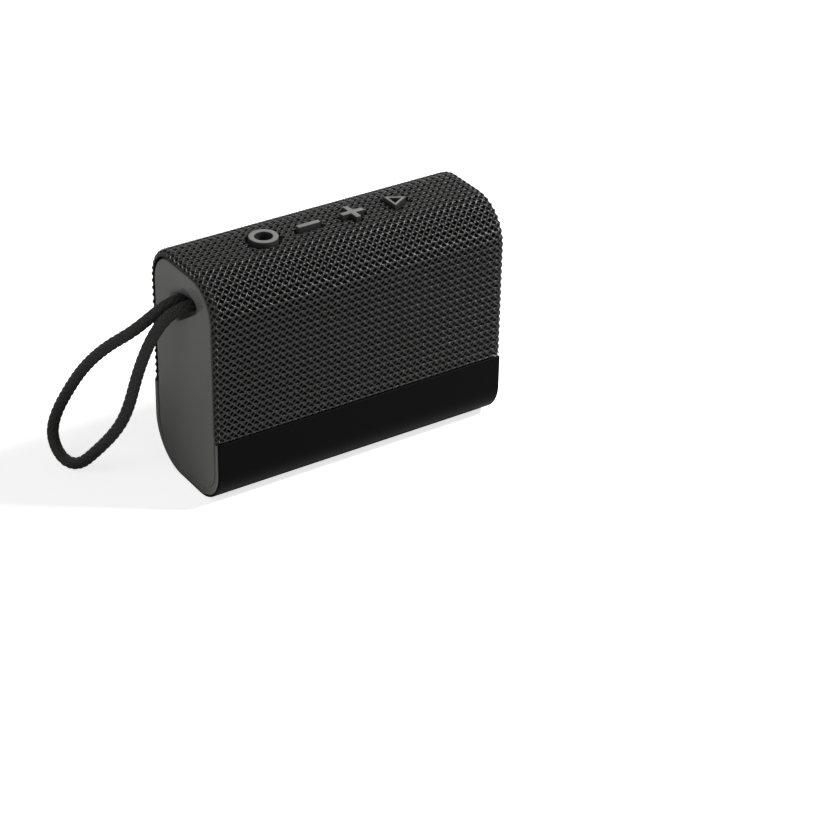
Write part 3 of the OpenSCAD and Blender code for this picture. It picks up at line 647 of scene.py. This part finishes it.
def moved_in(shape, distance):
    """An outline moved inward by distance, corner by corner. Its points run anticlockwise."""
    before = shape - np.roll(shape, 1, 0)
    after = np.roll(shape, -1, 0) - shape
    before /= np.linalg.norm(before, axis=1)[:, None]
    after /= np.linalg.norm(after, axis=1)[:, None]
    normal = np.stack([-before[:, 1] - after[:, 1], before[:, 0] + after[:, 0]], 1)
    normal /= np.linalg.norm(normal, axis=1)[:, None]
    square = np.stack([-before[:, 1], before[:, 0]], 1)
    return shape + normal * (distance / np.sum(normal * square, 1))[:, None]


def circle(radius, count=64):
    turn = np.arange(count) * 2 * math.pi / count
    return radius * np.stack([np.cos(turn), np.sin(turn)], 1)


def triangle(radius, corner):
    turn = np.arange(3) * 2 * math.pi / 3
    return rounded(radius * np.stack([np.cos(turn), np.sin(turn)], 1), corner)


w, t = sign_half, stroke_half
minus_shape = rounded([(-w, -t), (w, -t), (w, t), (-w, t)], 0.3)
plus_shape = rounded(
    [(-w, -t), (-t, -t), (-t, -w), (t, -w), (t, -t), (w, -t)]
    + [(w, t), (t, t), (t, w), (-t, w), (-t, t), (-w, t)],
    0.3,
)
key_top, key_seat, well_z, key_edge = body_height + 1.1, 71.6, body_height - 1.4, 0.22
flange_radius, flange_z, plunger_radius, plunger_z = 5.9, 70.4, 1.3, 69.3


def lofted(loops):
    """Faces between outlines stacked on each other, with a face at each end. Loops are (outline, z)."""
    points = np.concatenate([np.column_stack([o, np.full(len(o), z)]) for o, z in loops])
    n = len(loops[0][0])
    i = np.arange(n)
    quads = np.concatenate(
        [
            np.stack([i + k * n, (i + 1) % n + k * n, (i + 1) % n + (k + 1) * n, i + (k + 1) * n], 1)
            for k in range(len(loops) - 1)
        ]
    )
    caps = [list(range(n - 1, -1, -1)), list(range((len(loops) - 1) * n, len(loops) * n))]
    return points, quads, caps


def key(name, number, shape, well, body):
    """A key with a rounded upper edge and, for the ring and the triangle, a well in its top."""
    bends = np.linspace(0, half_turn, 4)
    loops = [(shape, key_seat), (shape, key_top - key_edge)]
    loops += [
        (moved_in(shape, key_edge * (1 - math.cos(b))), key_top - key_edge * (1 - math.sin(b)))
        for b in bends[1:]
    ]
    if well is not None:
        loops += [
            (moved_in(well, -key_edge * (1 - math.cos(b))), key_top - key_edge * (1 - math.sin(b)))
            for b in bends[::-1]
        ]
        loops.append((well, well_z))
    parts = [lofted(loops)]
    flange, plunger = circle(flange_radius), circle(plunger_radius, 24)
    parts.append(lofted([(flange, flange_z), (flange, key_seat)]))
    parts.append(lofted([(plunger, plunger_z), (plunger, flange_z)]))
    points, quads, caps, at = [], [], [], 0
    for part_points, part_quads, part_caps in parts:
        points.append(part_points + (key_x[number], key_y, 0))
        quads.append(part_quads + at)
        caps += [[i + at for i in c] for c in part_caps]
        at += len(part_points)
    piece = mesh_piece(f"{name}_key_top", np.concatenate(points), np.concatenate(quads), caps)
    piece.data.set_sharp_from_angle(angle=math.radians(40))
    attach(piece, body)
    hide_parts(f"{name}_button")
    return piece


keys = [
    key("power", 0, circle(ring_radius), circle(2.75), "power_key"),
    key("volume_down", 1, minus_shape, None, "volume_down_key"),
    key("volume_up", 2, plus_shape, None, "volume_up_key"),
    key("play", 3, triangle(play_radius, 0.12), triangle(2.2, 0.08), "play_key"),
]
print("keys:", [len(k.data.polygons) for k in keys])

# %% [markdown]
# ## Finishes
# Each finish is a small set of nodes: its plain colour and gloss are set on the shader itself, and a
# fine noise raises the surface a little or varies its roughness, as moulding texture, brushing or
# fibre does. The finish is looked up by the same slot name as in the construction model.


# %% Finishes
def finish(name, colour, roughness, metallic=0.0, specular=0.5, grain=900.0, depth=0.02, size=0.05):
    """A finish that varies with fine noise. grain is per metre, size is its height in mm."""
    material = bpy.data.materials.new(name)
    material.use_nodes = True
    nodes, links = material.node_tree.nodes, material.node_tree.links
    shader = nodes["Principled BSDF"]
    shader.inputs["Base Color"].default_value = (*colour, 1)
    shader.inputs["Roughness"].default_value = roughness
    shader.inputs["Metallic"].default_value = metallic
    shader.inputs["Specular IOR Level"].default_value = specular
    where = nodes.new("ShaderNodeTexCoord")
    noise = nodes.new("ShaderNodeTexNoise")
    noise.inputs["Scale"].default_value = grain
    noise.inputs["Detail"].default_value = 3
    links.new(where.outputs["Object"], noise.inputs["Vector"])
    bump = nodes.new("ShaderNodeBump")
    bump.inputs["Strength"].default_value = depth * 10
    bump.inputs["Distance"].default_value = size * MM
    links.new(noise.outputs["Fac"], bump.inputs["Height"])
    links.new(bump.outputs["Normal"], shader.inputs["Normal"])
    spread = nodes.new("ShaderNodeMapRange")
    spread.inputs["To Min"].default_value = max(roughness - 0.06, 0.02)
    spread.inputs["To Max"].default_value = min(roughness + 0.06, 1)
    links.new(noise.outputs["Fac"], spread.inputs["Value"])
    links.new(spread.outputs["Result"], shader.inputs["Roughness"])
    return material


def grey(value, warm=0.0):
    """A grey that leans a little towards olive."""
    return (value, value * (1 + 0.3 * warm), value * (1 - 2 * warm))


finishes = {
    "fabric": finish(
        "fabric", grey(0.0074, 0.05), 0.31, specular=0.42, grain=6000, depth=0.05, size=0.02
    ),
    "band_rubber": finish("band_rubber", grey(0.003), 0.45, specular=0.02, grain=2500),
    "cap_plastic": finish("cap_plastic", grey(0.13, 0.03), 0.5, specular=0.2, grain=3000),
    "shell_plastic": finish("shell_plastic", grey(0.006), 0.6, specular=0.2),
    "button_plastic": finish("button_plastic", grey(0.155, 0.01), 0.45, specular=0.3, grain=3000),
    "lining": finish("lining", grey(0.004), 0.8, specular=0.1),
    # Near-black finish for the key walls: painted shade on the sides of the keys.
    "key_wall_painted_shade": finish("key_wall_painted_shade", grey(0.012), 0.5, specular=0.3, grain=3000),
    "cord_braid": finish("cord_braid", grey(0.013, 0.03), 0.55, specular=0.3, grain=8000),
    "seal_rubber": finish("seal_rubber", grey(0.012), 0.6, specular=0.3),
    "board": finish("board", (0.01, 0.05, 0.03), 0.4),
    "component_plastic": finish("component_plastic", grey(0.02), 0.45),
    "connector_plastic": finish("connector_plastic", grey(0.6), 0.4),
    "plated_steel": finish("plated_steel", grey(0.6), 0.25, metallic=1.0),
    "cell_wrap": finish("cell_wrap", (0.02, 0.12, 0.25), 0.3),
    "nickel": finish("nickel", (0.65, 0.62, 0.55), 0.3, metallic=1.0),
    "wire": finish("wire", (0.25, 0.02, 0.02), 0.4),
    "ribbon": finish("ribbon", (0.35, 0.18, 0.05), 0.4),
    "led_lens": finish("led_lens", grey(0.7), 0.15),
    "microphone_can": finish("microphone_can", grey(0.5), 0.35, metallic=1.0),
    "cone_paper": finish("cone_paper", grey(0.02), 0.8, specular=0.2, grain=1500),
    "copper": finish("copper", (0.7, 0.3, 0.15), 0.3, metallic=1.0),
    "spider_cloth": finish("spider_cloth", (0.45, 0.25, 0.08), 0.8),
    "magnet_ferrite": finish("magnet_ferrite", grey(0.03), 0.6),
    "damping_weight": finish("damping_weight", grey(0.04), 0.5),
}
slot_of = {part["node"]: part["material_slot"] for part in frame["record"]["subparts"]}
for name, node in frame["nodes"].items():
    node.data.materials.clear()
    node.data.materials.append(finishes[slot_of[name]])
strap.data.materials.append(finishes["cord_braid"])
for piece in fabric_pieces:
    piece.data.materials.append(finishes["fabric"])
lining.data.materials.append(finishes["lining"])
band.data.materials.append(finishes["band_rubber"])
for piece in (left_cap, right_cap):
    piece.data.materials.append(finishes["cap_plastic"])
for piece in keys:
    piece.data.materials.append(finishes["button_plastic"])
    piece.data.materials.append(finishes["key_wall_painted_shade"])
    # Faces below the grey top take the near-black finish, as painted shade on the key walls.
    for face in piece.data.polygons:
        if face.center.z < (key_top - 0.02) * MM:
            face.material_index = 1
print("finishes:", len(finishes))

# %% [markdown]
# ## Light and surroundings
# A product table: white floor and white surroundings, one broad soft lamp from the front right and
# above, and a weaker one from the left, so that the top is lighter than the front and the cap is even.

# %% Floor, surroundings and lamps
floor_mesh = bpy.data.meshes.new("floor")
floor_mesh.from_pydata(
    [(-1.5, -1.5, 0), (1.5, -1.5, 0), (1.5, 3, 0), (-1.5, 3, 0)], [], [(0, 1, 2, 3)]
)
floor = bpy.data.objects.new("floor", floor_mesh)
scene.collection.objects.link(floor)
white = bpy.data.materials.new("white_floor")
white.use_nodes = True
shader = white.node_tree.nodes["Principled BSDF"]
shader.inputs["Base Color"].default_value = (0.9, 0.9, 0.9, 1)
shader.inputs["Roughness"].default_value = 0.9
shader.inputs["Emission Color"].default_value = (1, 1, 1, 1)
camera_ray = white.node_tree.nodes.new("ShaderNodeLightPath")
glow = white.node_tree.nodes.new("ShaderNodeMath")
glow.operation = "MULTIPLY"
glow.inputs[1].default_value = 0.75
white.node_tree.links.new(camera_ray.outputs["Is Camera Ray"], glow.inputs[0])
white.node_tree.links.new(glow.outputs[0], shader.inputs["Emission Strength"])
floor_mesh.materials.append(white)

world = bpy.data.worlds.new("surroundings")
scene.world = world
world.use_nodes = True
nodes, links = world.node_tree.nodes, world.node_tree.links
background = nodes["Background"]
background.inputs["Color"].default_value = (1, 1, 1, 1)
path = nodes.new("ShaderNodeLightPath")
seen = nodes.new("ShaderNodeMath")
seen.operation = "MAXIMUM"
through = nodes.new("ShaderNodeMath")
through.operation = "MAXIMUM"
links.new(path.outputs["Is Camera Ray"], seen.inputs[0])
links.new(path.outputs["Is Glossy Ray"], seen.inputs[1])
links.new(seen.outputs[0], through.inputs[0])
links.new(path.outputs["Is Transmission Ray"], through.inputs[1])
level = nodes.new("ShaderNodeMapRange")
level.inputs["To Min"].default_value = 0.07
level.inputs["To Max"].default_value = 1.0
links.new(through.outputs[0], level.inputs["Value"])
links.new(level.outputs["Result"], background.inputs["Strength"])


def lamp(name, direction, distance, size, power):
    """A square soft lamp that faces the speaker from a direction."""
    data = bpy.data.lights.new(name, "AREA")
    data.size, data.energy = size, power
    piece = bpy.data.objects.new(name, data)
    scene.collection.objects.link(piece)
    toward = Vector(direction).normalized()
    piece.location = Vector((0, 0, 0.04)) + toward * distance
    piece.rotation_euler = toward.to_track_quat("Z", "Y").to_euler()
    return piece


lamp("key_lamp", (0.62, -0.36, 0.70), 1.0, 0.22, 16)
lamp("fill_lamp", (-0.85, -0.15, 0.5), 1.2, 0.8, 2.4)
scene.view_settings.view_transform = "Standard"
